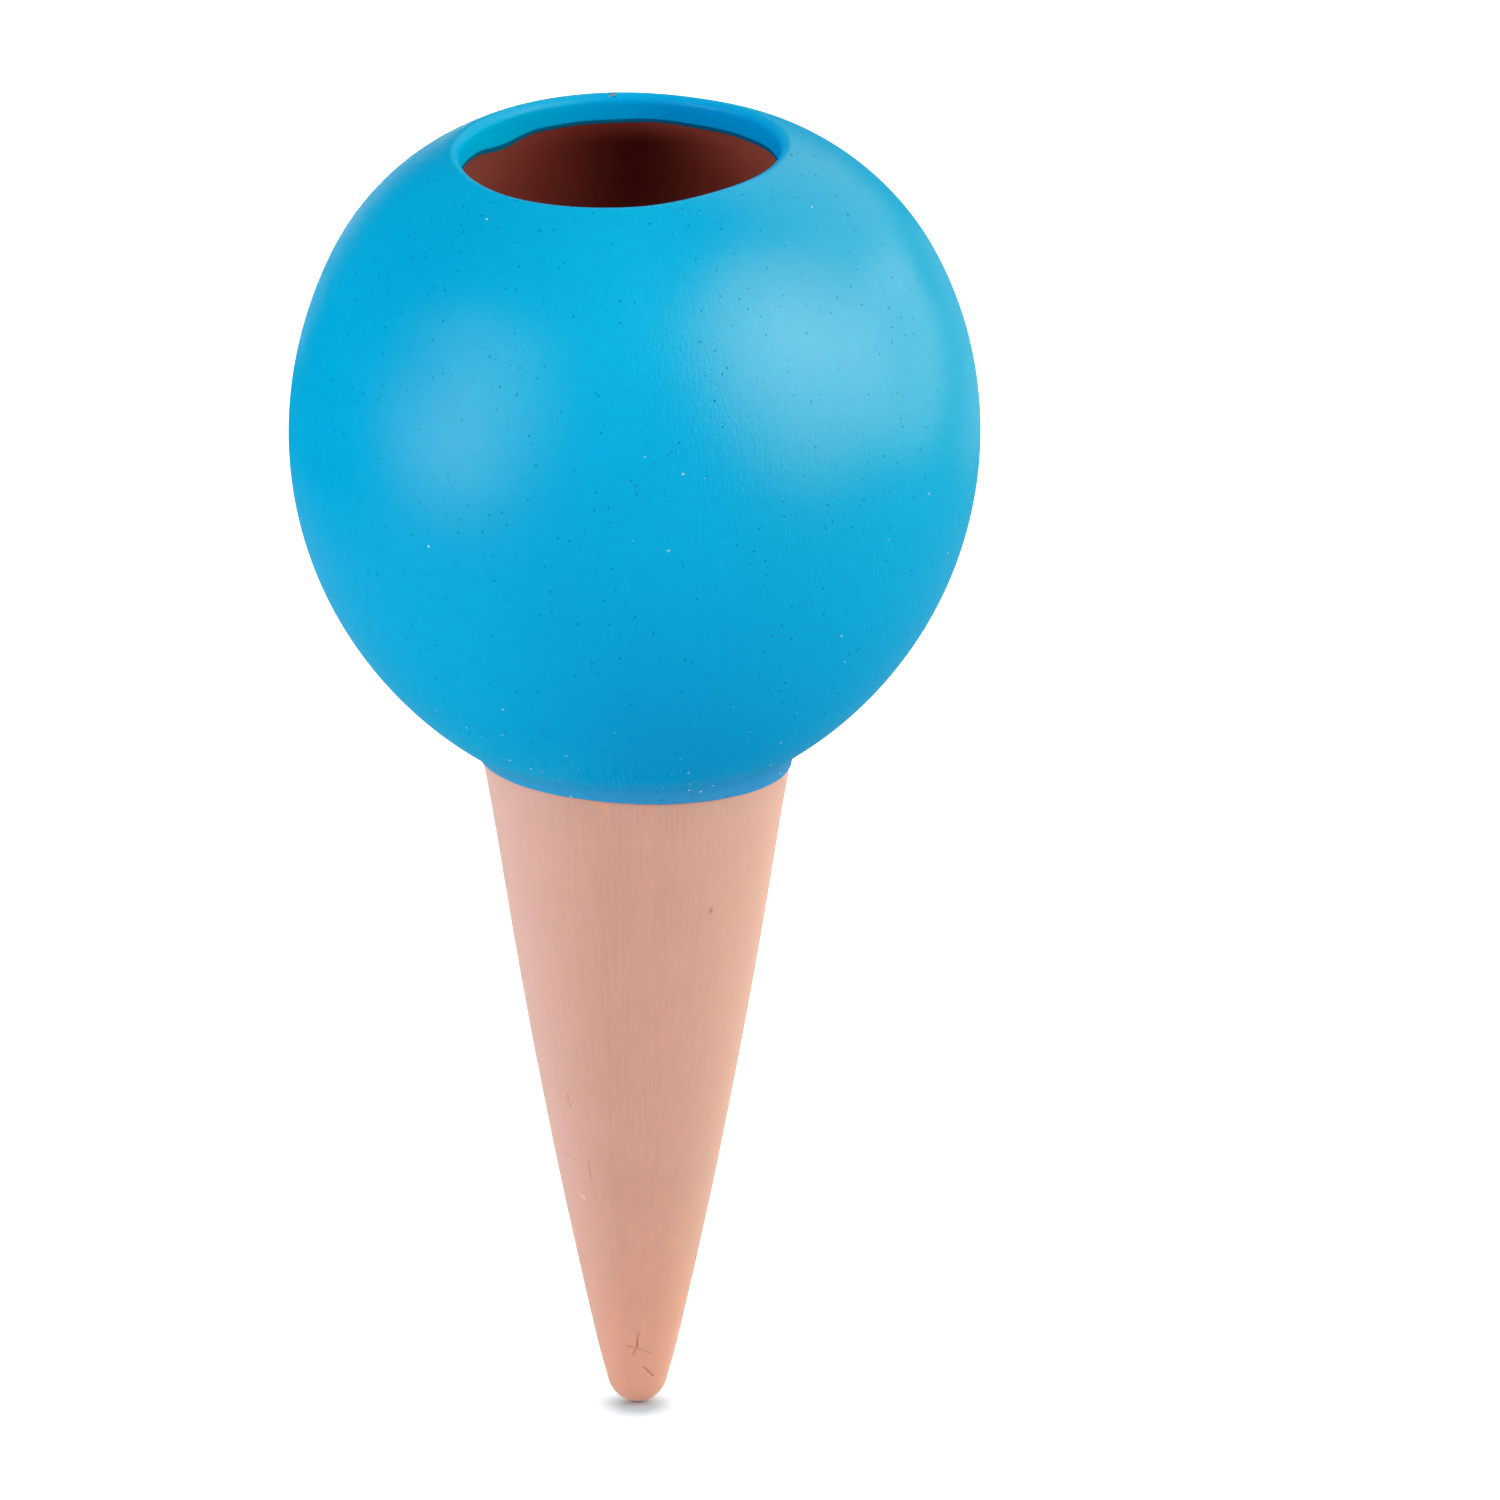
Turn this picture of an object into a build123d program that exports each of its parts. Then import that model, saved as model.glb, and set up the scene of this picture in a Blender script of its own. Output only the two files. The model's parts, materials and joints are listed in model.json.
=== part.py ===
from build123d import *
from collections import namedtuple
from math import atan2, cos, degrees, hypot, radians, sin, sqrt, tan
import os

# Self watering spike: a painted terracotta globe luted onto a hollow, porous terracotta cone.
# The origin is the centre of the neck, where the globe meets the spike, and +Z runs up the axis.
# Sizes are in millimetres and angles in degrees.

# Globe, as bare clay under the paint
globe_diameter = 94.5
bowl_arc = 52.35  # curve of the half section from the neck up to the widest line
belly_arc = 53.75  # curve of the half section from the widest line up to the shoulder
shoulder_arc = 35.95  # curve of the half section from the shoulder up to the mouth
shoulder_angle = 26.3  # height of the shoulder, seen from the centre of the belly curve
wall = 4.0  # clay of the globe and of the spike's flank
drain_rounding = 1.0  # worn inner edge of the hole in the globe's floor

# Mouth, bored a little off the axis by hand
mouth_diameter = 44.0  # clear opening inside the paint
mouth_shift_x = -2.0
mouth_shift_y = -1.5
mouth_trim = 1.5  # clay left inside the mouth's line until it is bored
lip_rounding = 1.2

# Spike
neck_diameter = 41.9
spike_length = 95.4
flank_arc = 1010.0  # long swelling curve of the flank
tip_rounding = 4.2
hollow_tip_rounding = 2.0

# Slip joint
bead_radius = 1.3  # hollow fillet wiped round the neck with a finger

# Paint
coat = 0.25
bare_edge = 0.2  # clay left unpainted inside the mouth, next to the inner wall
paint_drop = 1.5  # from the neck down to the paint line, on the axis
paint_tilt = 2.0  # the paint line runs lower at +X
paint_trim = 1.0  # paint below the lowest point of the line before it is cut

SectionCircle = namedtuple("SectionCircle", "r z radius")


def grown(circle, amount):
    """The circle with its radius changed by the amount."""
    return circle._replace(radius=circle.radius + amount)


def crossing(first, second, side):
    """Where two circles cross: side 1 lies to the left of the line between their centres, -1 right."""
    dr = second.r - first.r
    dz = second.z - first.z
    gap = hypot(dr, dz)
    along = (gap**2 + first.radius**2 - second.radius**2) / (2 * gap)
    across = side * sqrt(first.radius**2 - along**2)
    return first.r + (along * dr - across * dz) / gap, first.z + (along * dz + across * dr) / gap


def toward(circle, point):
    """The circle's own point in the direction of another point."""
    reach = circle.radius / hypot(point[0] - circle.r, point[1] - circle.z)
    return circle.r + reach * (point[0] - circle.r), circle.z + reach * (point[1] - circle.z)


def height_on(circle, r, side):
    """The circle's height at a distance from the axis, on its upper (1) or lower (-1) half."""
    return circle.z + side * sqrt(circle.radius**2 - (r - circle.r) ** 2)


def width_on(circle, z):
    """The circle's distance from the axis at a height, on its outer half."""
    return circle.r + sqrt(circle.radius**2 - (z - circle.z) ** 2)


def angle_of(circle, point):
    return degrees(atan2(point[1] - circle.z, point[0] - circle.r))


def arc(circle, start, end):
    """The short arc of a circle between two of its points, drawn in the current line."""
    first = angle_of(circle, start)
    sweep = (angle_of(circle, end) - first + 180) % 360 - 180
    CenterArc((circle.r, circle.z), circle.radius, first, sweep)


# Half section of the outside, as distance from the axis and height
neck_r = neck_diameter / 2
globe_r = globe_diameter / 2
globe_z = sqrt(bowl_arc**2 - (neck_r - globe_r + bowl_arc) ** 2)
bowl = SectionCircle(globe_r - bowl_arc, globe_z, bowl_arc)
belly = SectionCircle(globe_r - belly_arc, globe_z, belly_arc)
shoulder_turn = radians(shoulder_angle)
shoulder_offset = belly_arc - shoulder_arc
shoulder = SectionCircle(
    belly.r + shoulder_offset * cos(shoulder_turn),
    belly.z + shoulder_offset * sin(shoulder_turn),
    shoulder_arc,
)
crown_z = shoulder.z + shoulder.radius
tip = SectionCircle(0.0, tip_rounding - spike_length, tip_rounding)
flank_centre = crossing(
    SectionCircle(neck_r, 0.0, flank_arc), tip._replace(radius=flank_arc - tip_rounding), -1
)
flank = SectionCircle(*flank_centre, flank_arc)
bead = SectionCircle(*crossing(grown(bowl, bead_radius), grown(flank, bead_radius), 1), bead_radius)
seam_top = toward(bowl, bead)
seam_bottom = toward(flank, bead)

# Half section of the inside
hollow_bowl = grown(bowl, -wall)
hollow_belly = grown(belly, -wall)
hollow_shoulder = grown(shoulder, -wall)
hollow_flank = grown(flank, -wall)
hollow_tip_z = height_on(grown(hollow_flank, -hollow_tip_rounding), 0.0, -1)
hollow_tip = SectionCircle(0.0, hollow_tip_z, hollow_tip_rounding)
neck_bore = width_on(hollow_flank, seam_bottom[1])
floor_edge = (neck_bore, height_on(hollow_bowl, neck_bore, -1))

# Mouth
mouth_r = mouth_diameter / 2
mouth_centre = (mouth_shift_x, mouth_shift_y, crown_z)
blank_r = mouth_r - hypot(mouth_shift_x, mouth_shift_y) - mouth_trim


def above_shoulder(offset):
    """The point where the belly turns into the shoulder, that far outside the clay."""
    return toward(grown(belly, offset), (shoulder.r, shoulder.z))


def widest(offset):
    """The globe's widest point, that far outside the clay."""
    return globe_r + offset, globe_z


def blank_mouth(offset):
    """The edge of the opening before the mouth is bored, that far outside the clay."""
    return blank_r, height_on(grown(shoulder, offset), blank_r, 1)


with BuildPart() as reservoir_globe:
    with BuildSketch(Plane.XZ):
        with BuildLine():
            arc(bowl, seam_top, widest(0.0))
            arc(belly, widest(0.0), above_shoulder(0.0))
            arc(shoulder, above_shoulder(0.0), blank_mouth(0.0))
            Line(blank_mouth(0.0), blank_mouth(-wall))
            arc(hollow_shoulder, blank_mouth(-wall), above_shoulder(-wall))
            arc(hollow_belly, above_shoulder(-wall), widest(-wall))
            arc(hollow_bowl, widest(-wall), floor_edge)
            Line(floor_edge, (neck_bore, seam_top[1]))
            Line((neck_bore, seam_top[1]), seam_top)
        make_face()
    revolve(axis=Axis.Z)
    fillet(reservoir_globe.edges().filter_by(GeomType.CIRCLE).group_by(Axis.Z)[1], drain_rounding)
    with Locations(mouth_centre):
        Hole(mouth_r + coat, depth=shoulder_arc)
    fillet(reservoir_globe.edges(Select.LAST).sort_by(Axis.Z)[-1], lip_rounding)
reservoir_globe.part.label = "reservoir_globe"

with BuildPart() as slip_joint:
    with BuildSketch(Plane.XZ):
        with BuildLine():
            arc(bead, seam_bottom, seam_top)
            Polyline(seam_top, (neck_bore, seam_top[1]), (neck_bore, seam_bottom[1]), seam_bottom)
        make_face()
    revolve(axis=Axis.Z)
slip_joint.part.label = "slip_joint"

with BuildPart() as watering_spike:
    with BuildSketch(Plane.XZ):
        with BuildLine():
            tip_end = (0.0, -spike_length)
            hollow_end = (0.0, hollow_tip.z - hollow_tip.radius)
            hollow_turn = toward(hollow_flank, hollow_tip)
            arc(flank, seam_bottom, toward(flank, tip))
            arc(tip, toward(flank, tip), tip_end)
            Line(tip_end, hollow_end)
            arc(hollow_tip, hollow_end, hollow_turn)
            arc(hollow_flank, hollow_turn, (neck_bore, seam_bottom[1]))
            Line((neck_bore, seam_bottom[1]), seam_bottom)
        make_face()
    revolve(axis=Axis.Z)
watering_spike.part.label = "watering_spike"

with BuildPart() as paint_coat:
    lining = bare_edge - wall
    lowest = -paint_drop - neck_r * tan(radians(paint_tilt)) - paint_trim
    painted_bowl = grown(bowl, coat)
    painted_flank = grown(flank, coat)
    painted_bead = grown(bead, -coat)
    lined_bowl = grown(bowl, lining)
    lined_flank = grown(flank, lining)
    lined_crease = crossing(lined_bowl, lined_flank, 1)
    with BuildSketch(Plane.XZ):
        with BuildLine():
            arc(painted_flank, (width_on(painted_flank, lowest), lowest), toward(painted_flank, bead))
            arc(painted_bead, toward(painted_flank, bead), toward(painted_bowl, bead))
            arc(painted_bowl, toward(painted_bowl, bead), widest(coat))
            arc(grown(belly, coat), widest(coat), above_shoulder(coat))
            arc(grown(shoulder, coat), above_shoulder(coat), blank_mouth(coat))
            Line(blank_mouth(coat), blank_mouth(lining))
            arc(grown(shoulder, lining), blank_mouth(lining), above_shoulder(lining))
            arc(grown(belly, lining), above_shoulder(lining), widest(lining))
            arc(lined_bowl, widest(lining), lined_crease)
            arc(lined_flank, lined_crease, (width_on(lined_flank, lowest), lowest))
            Line((width_on(lined_flank, lowest), lowest), (width_on(painted_flank, lowest), lowest))
        make_face()
    revolve(axis=Axis.Z)
    with Locations(mouth_centre):
        Hole(mouth_r, depth=shoulder_arc)
    fillet(paint_coat.edges(Select.LAST).sort_by(Axis.Z)[-1], lip_rounding + coat)
    paint_lean = radians(paint_tilt)
    paint_line = Plane(origin=(0, 0, -paint_drop), z_dir=(sin(paint_lean), 0, cos(paint_lean)))
    split(bisect_by=paint_line, keep=Keep.TOP)
    add(reservoir_globe.part, mode=Mode.SUBTRACT)
    add(slip_joint.part, mode=Mode.SUBTRACT)
    add(watering_spike.part, mode=Mode.SUBTRACT)
paint_coat.part.label = "paint_coat"

os.makedirs("parts", exist_ok=True)
for piece in (reservoir_globe, slip_joint, watering_spike, paint_coat):
    export_step(piece.part, f"parts/{piece.part.label}.step")
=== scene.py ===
import json
from collections import namedtuple
from math import atan2, cos, hypot, pi, radians, sin, sqrt, tan

import bpy
import numpy as np
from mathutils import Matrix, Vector


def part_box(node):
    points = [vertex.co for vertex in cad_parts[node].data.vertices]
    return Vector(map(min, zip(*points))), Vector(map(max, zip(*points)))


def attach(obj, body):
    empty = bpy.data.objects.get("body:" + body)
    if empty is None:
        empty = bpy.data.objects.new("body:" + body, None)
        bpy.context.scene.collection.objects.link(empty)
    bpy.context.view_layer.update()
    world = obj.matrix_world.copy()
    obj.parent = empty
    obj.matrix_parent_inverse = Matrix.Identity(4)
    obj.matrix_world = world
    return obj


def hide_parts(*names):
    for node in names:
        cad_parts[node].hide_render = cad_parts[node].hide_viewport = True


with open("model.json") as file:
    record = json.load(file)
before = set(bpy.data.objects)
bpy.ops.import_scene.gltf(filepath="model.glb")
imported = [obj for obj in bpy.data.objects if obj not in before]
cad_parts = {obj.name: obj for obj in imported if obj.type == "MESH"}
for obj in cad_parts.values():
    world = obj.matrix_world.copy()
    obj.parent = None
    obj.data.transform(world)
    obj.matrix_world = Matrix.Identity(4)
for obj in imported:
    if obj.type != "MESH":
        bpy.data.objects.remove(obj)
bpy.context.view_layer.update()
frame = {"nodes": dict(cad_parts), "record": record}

# Shapes are worked out in millimetres, with their angles in degrees, and meshes are made in metres.
MM = 0.001

# Sizes that the frame gives
mouth = next(mount for mount in frame["record"]["mounts"] if mount["name"] == "mouth")
mouth_r = mouth["dims"]["r_mm"]
mouth_x = mouth["pos_m"][0] / MM
mouth_y = mouth["pos_m"][1] / MM
globe_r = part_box("reservoir_globe")[1].x / MM
floor_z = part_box("watering_spike")[0].z / MM

# Globe and mouth
bowl_arc = 52.35
belly_arc = 53.75
shoulder_arc = 35.95
shoulder_angle = 26.3
wall = 4.0
drain_rounding = 1.0
lip_rounding = 1.0

# Spike and slip joint
neck_r = 20.95
flank_arc = 1010.0
tip_rounding = 4.2
hollow_tip_rounding = 2.0
bead_radius = 1.3

# Paint
coat = 0.25
film_gap = 0.03  # between the paint and the clay under it
paint_drop = 1.5
paint_tilt = 2.0
paint_crease = 5.0  # rounding of the paint that has run into the crease of the neck
paint_edge = 0.08  # how far the paint's rounded edge swells past its end
skirt = 6.0  # how far below the neck the outside is drawn before it is cut at the paint line

# Inner edge of the mouth, where the wall hangs lower over a short stretch
burr_angle = 136.0
burr_width = 17.0
burr_drop = 0.9
edge_wobble = 0.12
bare_edge = 0.12  # clay left unpainted next to the edge

# Unevenness of the hand-made form
crown_tilt = 0.011  # the globe's top leans a little towards +X
near_dip = 0.65  # the mouth's near rim is that much lower left of the axis, and less so right of it
far_dip = 0.22  # and its far rim that much, a little right of the axis
spike_lean = 0.3  # the spike stands that far to +X of the globe's axis
spike_swell = 0.2  # and is that much fuller, down to just above its tip
neck_swell = 0.3  # globe and spike are that much fuller again at the neck

# Where that unevenness sets in or dies out, from start to end
WAVES_FROM_NECK = (3.0, 14.0)
CROWN_HEIGHTS = (55.0, 82.0)
RIM_HEIGHTS = (66.0, 82.0)
NEAR_SIDE = (2.0, 22.0)  # towards the viewer
NEAR_RIGHT = (0.0, 14.0)  # to the right, where the near dip shrinks
NEAR_RIGHT_LOSS = 0.8  # by this share of itself
FAR_SIDE = (8.0, 20.0)  # away from the viewer
FAR_MIDDLE = 9.0  # how far right the far dip is deepest
FAR_WIDTH = 9.0
LEAN_DEPTHS = (-3.0, 4.0)
SWELL_DEPTHS = (-4.0, 4.0)
SWELL_END = (86.0, 94.0)  # depths over which the spike's swell dies out
NECK_REACH = 8.0  # how far up and down from the neck its swell reaches

# Slow waves of the clay: height, number round the axis, phase, and millimetres upwards a radian
Wave = namedtuple("Wave", "height lobes phase pitch")
CLAY_WAVES = (Wave(0.035, 2, 1.1, 31.0), Wave(0.03, 3, -0.4, -19.0), Wave(0.02, 5, 2.2, 11.0))

# Waves of the mouth's inner edge and of the paint line: height, number round the axis and phase
EDGE_WAVES = ((1.0, 3, 0.6), (0.6, 7, 2.0), (0.4, 13, 0.0))
LINE_WAVES = ((0.06, 3, 0.7), (0.03, 7, 2.1), (0.012, 19, 0.0))

# Throwing rings inside the globe, with the heights over which they set in and die out
RING_HEIGHT = 0.05
RING_PITCH = 0.9
RINGS_START = (8.0, 20.0)
RINGS_END = (70.0, 78.0)

# Mesh density
COLUMNS = 320
ARC_STEP = 0.05
ARC_LEAST = 8
SHARP_ANGLE = radians(50)
DOME_TURN = (0.55, 1.0)  # shares of the way up the dome between which columns turn to suit the mouth
CAVITY_TURN = (0.0, 0.45)  # and of the way down the cavity between which they turn back
BURR_REACH = 3.0  # how far into the cavity the burr is felt

MARKS = "marks"  # the colour attribute that tells the materials where marks are

Circle = namedtuple("Circle", "r z radius")

around = np.linspace(0.0, 2 * pi, COLUMNS, endpoint=False)
radial = np.column_stack((np.cos(around), np.sin(around), np.zeros(COLUMNS)))


def smooth(value, start, end):
    """0 before start, 1 after end and an even rise between them."""
    share = np.clip((value - start) / (end - start), 0.0, 1.0)
    return share * share * (3 - 2 * share)


def spaced(*stretches):
    """Values over stretches that follow each other, each given by its start, its end and its count."""
    before = [np.linspace(start, end, count, endpoint=False) for start, end, count in stretches[:-1]]
    return np.concatenate((*before, np.linspace(*stretches[-1])))


def short_way(turn):
    """The same turn, taken the short way round."""
    return (turn + pi) % (2 * pi) - pi


def ripple(waves):
    """The sum of waves round the axis, for each column."""
    return sum(height * np.sin(count * around + phase) for height, count, phase in waves)


def turned(r, azimuth, z):
    """Points at a distance from the axis, an angle round it and a height."""
    return np.stack(np.broadcast_arrays(r * np.cos(azimuth), r * np.sin(azimuth), z), axis=-1)


# Plane geometry of the half section

def grown(circle, amount):
    """The circle with its radius changed by the amount."""
    return circle._replace(radius=circle.radius + amount)


def crossing(first, second, side):
    """Where two circles cross: side 1 lies to the left of the line between their centres, -1 right."""
    dr = second.r - first.r
    dz = second.z - first.z
    gap = hypot(dr, dz)
    along = (gap**2 + first.radius**2 - second.radius**2) / (2 * gap)
    across = side * sqrt(first.radius**2 - along**2)
    return first.r + (along * dr - across * dz) / gap, first.z + (along * dz + across * dr) / gap


def toward(circle, point):
    """The circle's own point in the direction of another point."""
    reach = circle.radius / hypot(point[0] - circle.r, point[1] - circle.z)
    return circle.r + reach * (point[0] - circle.r), circle.z + reach * (point[1] - circle.z)


def height_on(circle, r, side):
    """The circle's height at a distance from the axis, on its upper (1) or lower (-1) half."""
    return circle.z + side * np.sqrt(circle.radius**2 - (r - circle.r) ** 2)


def width_on(circle, z):
    """The circle's distance from the axis at a height, on its outer half."""
    return circle.r + sqrt(circle.radius**2 - (z - circle.z) ** 2)


def arc(circle, start, end):
    """Points along the short arc of a circle between two of its points."""
    first = atan2(start[1] - circle.z, start[0] - circle.r)
    last = atan2(end[1] - circle.z, end[0] - circle.r)
    sweep = short_way(last - first)
    count = max(round(abs(sweep) * circle.radius / ARC_STEP), ARC_LEAST)
    turns = first + sweep * np.linspace(0.0, 1.0, count)
    r = circle.r + circle.radius * np.cos(turns)
    z = circle.z + circle.radius * np.sin(turns)
    return np.column_stack((r, z))


class Section:
    """A line in the half section whose points are found by their length from its start."""

    def __init__(self, *stretches):
        points = np.vstack(stretches)
        self.r = points[:, 0]
        self.z = points[:, 1]
        steps = np.hypot(np.diff(self.r), np.diff(self.z))
        self.length = np.concatenate(([0.0], np.cumsum(steps)))
        self.total = self.length[-1]

    def at(self, length):
        """Distance from the axis and height at a length."""
        return np.interp(length, self.length, self.r), np.interp(length, self.length, self.z)

    def at_height(self, z):
        """Length up to a height, on a section that rises all the way."""
        return np.interp(z, self.z, self.length)

    def closing_at(self, r):
        """Length up to a distance from the axis, past the widest point."""
        widest = np.argmax(self.r)
        return np.interp(-r, -self.r[widest:], self.length[widest:])

    def opening_at(self, r):
        """Length up to a distance from the axis, before the widest point."""
        widest = np.argmax(self.r)
        return np.interp(r, self.r[: widest + 1], self.length[: widest + 1])


# Circles of the half section
globe_z = sqrt(bowl_arc**2 - (neck_r - globe_r + bowl_arc) ** 2)
bowl = Circle(globe_r - bowl_arc, globe_z, bowl_arc)
belly = Circle(globe_r - belly_arc, globe_z, belly_arc)
shoulder_turn = radians(shoulder_angle)
shoulder_offset = belly_arc - shoulder_arc
shoulder = Circle(
    belly.r + shoulder_offset * cos(shoulder_turn),
    belly.z + shoulder_offset * sin(shoulder_turn),
    shoulder_arc,
)
tip = Circle(0.0, floor_z + tip_rounding, tip_rounding)
flank_centre = crossing(
    Circle(neck_r, 0.0, flank_arc), tip._replace(radius=flank_arc - tip_rounding), -1
)
flank = Circle(*flank_centre, flank_arc)
bead = Circle(*crossing(grown(bowl, bead_radius), grown(flank, bead_radius), 1), bead_radius)
seam_top = toward(bowl, bead[:2])
seam_bottom = toward(flank, bead[:2])
hollow_bowl = grown(bowl, -wall)
hollow_flank = grown(flank, -wall)
hollow_tip_z = float(height_on(grown(hollow_flank, -hollow_tip_rounding), 0.0, -1))
hollow_tip = Circle(0.0, hollow_tip_z, hollow_tip_rounding)
hollow_end = (0.0, hollow_tip.z - hollow_tip.radius)
neck_bore = width_on(hollow_flank, seam_bottom[1])


def widest_point(offset):
    """The globe's widest point, that far outside the clay."""
    return globe_r + offset, globe_z


def shoulder_point(offset):
    """Where the belly turns into the shoulder, that far outside the clay."""
    return toward(grown(belly, offset), shoulder[:2])


def crown_point(offset):
    """The highest point of the shoulder's curve, that far outside the clay."""
    return shoulder.r, shoulder.z + shoulder.radius + offset


def outside(offset, crease):
    """Half section that far outside the clay, from low on the flank to the crown, with a rounded crease."""
    face = grown(flank, offset)
    ball = grown(bowl, offset)
    hollow = Circle(*crossing(grown(ball, crease), grown(face, crease), 1), crease)
    return Section(
        arc(face, (width_on(face, -skirt), -skirt), toward(face, hollow[:2])),
        arc(hollow, toward(hollow, face[:2]), toward(hollow, ball[:2])),
        arc(ball, toward(ball, hollow[:2]), widest_point(offset)),
        arc(grown(belly, offset), widest_point(offset), shoulder_point(offset)),
        arc(grown(shoulder, offset), shoulder_point(offset), crown_point(offset)),
    )


def inside():
    """Half section of the reservoir's inner wall, from the crown down to the end of the neck's bore."""
    drain_r = neck_bore + drain_rounding
    drain_z = float(height_on(grown(hollow_bowl, drain_rounding), drain_r, -1))
    drain = Circle(drain_r, drain_z, drain_rounding)
    bore_top = (neck_bore, drain.z)
    bore_end = (neck_bore, seam_top[1])
    return Section(
        arc(grown(shoulder, -wall), crown_point(-wall), shoulder_point(-wall)),
        arc(grown(belly, -wall), shoulder_point(-wall), widest_point(-wall)),
        arc(hollow_bowl, widest_point(-wall), toward(hollow_bowl, drain[:2])),
        arc(drain, toward(drain, hollow_bowl[:2]), bore_top),
        (bore_top, bore_end),
    )


def round_mouth(r):
    """The circle of that radius about the mouth's own axis: x and y for each column."""
    return mouth_x + r * np.cos(around), mouth_y + r * np.sin(around)


# The mouth's lip: the centre line of its rounding, the direction from there to the end of the dome, and
# how far each column has turned about the globe's axis where it meets the lip
spine_r = mouth_r + coat + lip_rounding
spine_x, spine_y = round_mouth(spine_r)
spine_out = np.hypot(spine_x, spine_y)
spine_turn = np.arctan2(spine_y, spine_x)
spine_z = height_on(grown(shoulder, -lip_rounding), spine_out, 1)
spine = np.column_stack((spine_x, spine_y, spine_z))
lip_start = turned(spine_out - shoulder.r, spine_turn, spine_z - shoulder.z) / (shoulder_arc - lip_rounding)
lip_lean = short_way(spine_turn - around)


def lip_contact(reach):
    """Distance from the axis at which the dome meets a lip of that radius, for each column."""
    return np.hypot(*(spine + reach * lip_start)[:, :2].T)


def dome_rows(section, start, end, shares):
    """Rows along a section, from a start to an end length, that turn towards the mouth's own centre."""
    length = start + shares[:, None] * (end - start)
    r, z = section.at(length)
    lean = smooth(shares, *DOME_TURN)[:, None] * lip_lean
    return turned(r, around + lean, z)


def lip_rows(reach, count):
    """Rows round the lip, from the dome over to the bore."""
    angle = np.arccos(np.sum(lip_start * -radial, axis=1))[:, None]
    share = np.linspace(0.0, 1.0, count)[:, None, None]
    from_dome = np.sin((1 - share) * angle) * lip_start
    to_bore = np.sin(share * angle) * radial
    return spine + reach * ((from_dome - to_bore) / np.sin(angle))


def bore_rows(r, start, end, count):
    """Rows down or up the mouth's bore, between two heights for each column."""
    x, y = round_mouth(r)
    z = start + np.linspace(0.0, 1.0, count)[:, None] * (end - start)
    return np.stack(np.broadcast_arrays(x, y, z), axis=-1)


def burr():
    """How far the mouth's inner edge hangs below the even wall, for each column."""
    distance = (np.degrees(around) - burr_angle) / burr_width
    bump = np.where(abs(distance) < 1, np.cos(distance * pi / 2) ** 2, 0.0)
    return burr_drop * bump + edge_wobble * ripple(EDGE_WAVES)


def bore_edge(r):
    """Height of the mouth's inner edge on a bore of that radius, for each column."""
    return height_on(grown(shoulder, -wall), np.hypot(*round_mouth(r)), 1) - burr()


# Meshes

def hand_made(points):
    """The slow unevenness of fired clay, the same for all pieces at the same place."""
    x, y, z = np.moveaxis(points, -1, 0)
    azimuth = np.arctan2(y, x)
    swell = sum(
        wave.height * np.sin(wave.lobes * azimuth + wave.phase + z / wave.pitch) for wave in CLAY_WAVES
    )
    swell = swell * smooth(abs(z), *WAVES_FROM_NECK)
    swell = swell + spike_swell * smooth(-z, *SWELL_DEPTHS) * (1 - smooth(-z, *SWELL_END))
    swell = swell + neck_swell * np.exp(-((z / NECK_REACH) ** 2))
    lean = spike_lean * smooth(-z, *LEAN_DEPTHS)
    dip = near_dip * smooth(-y, *NEAR_SIDE) * (1 - NEAR_RIGHT_LOSS * smooth(x, *NEAR_RIGHT))
    dip = dip + far_dip * smooth(y, *FAR_SIDE) * np.exp(-(((x - FAR_MIDDLE) / FAR_WIDTH) ** 2))
    drop = crown_tilt * x * smooth(z, *CROWN_HEIGHTS) + dip * smooth(z, *RIM_HEIGHTS)
    return points + np.stack((swell * np.cos(azimuth) + lean, swell * np.sin(azimuth), -drop), axis=-1)


def grid_normals(rows):
    """Outward direction at each point of a grid that closes around."""
    across = np.roll(rows, -1, axis=1) - np.roll(rows, 1, axis=1)
    normal = np.cross(across, np.gradient(rows, axis=0))
    return normal / np.linalg.norm(normal, axis=-1, keepdims=True)


def grid_faces(rows, wrapped):
    """Quads of a grid that closes around, and also from its last row to its first where wrapped."""
    row = np.arange(rows if wrapped else rows - 1)[:, None]
    column = np.arange(COLUMNS)
    next_row = (row + 1) % rows
    next_column = (column + 1) % COLUMNS
    corners = (
        row * COLUMNS + column,
        row * COLUMNS + next_column,
        next_row * COLUMNS + next_column,
        next_row * COLUMNS + column,
    )
    return np.stack(corners, axis=-1).reshape(-1, 4)


def make_piece(name, points, faces, material):
    """A smooth mesh object of these points, given in millimetres."""
    mesh = bpy.data.meshes.new(name)
    mesh.from_pydata((points * MM).tolist(), [], [list(face) for face in faces])
    mesh.shade_smooth()
    mesh.set_sharp_from_angle(angle=SHARP_ANGLE)
    mesh.materials.append(material)
    piece = bpy.data.objects.new(name, mesh)
    bpy.context.scene.collection.objects.link(piece)
    return piece


def add_marks(piece, values):
    """Colour channels for marks, three values a point."""
    channel = piece.data.attributes.new(MARKS, "FLOAT_COLOR", "POINT")
    alpha = np.ones((len(values), 1))
    channel.data.foreach_set("color", np.hstack((values, alpha)).ravel())


def take_place(piece, node):
    """Puts a piece in the place of a node: attaches it to the root body and hides the node's CAD part."""
    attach(piece, "root")
    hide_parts(node)


# Painted skin

def paint_line():
    """Height of the paint's lower end on the flank, for each column."""
    return -paint_drop - neck_r * np.cos(around) * tan(radians(paint_tilt)) + ripple(LINE_WAVES)


def lip_place(angle, tilt):
    """A point on the painted lip, at an angle round the mouth and tilted outwards from the top."""
    turn = radians(angle)
    lean = radians(tilt)
    lip = lip_rounding + coat
    out = spine_r + lip * sin(lean)
    height = np.interp(turn, around, spine_z) + lip * cos(lean)
    return np.array((mouth_x + out * cos(turn), mouth_y + out * sin(turn), height))


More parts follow.
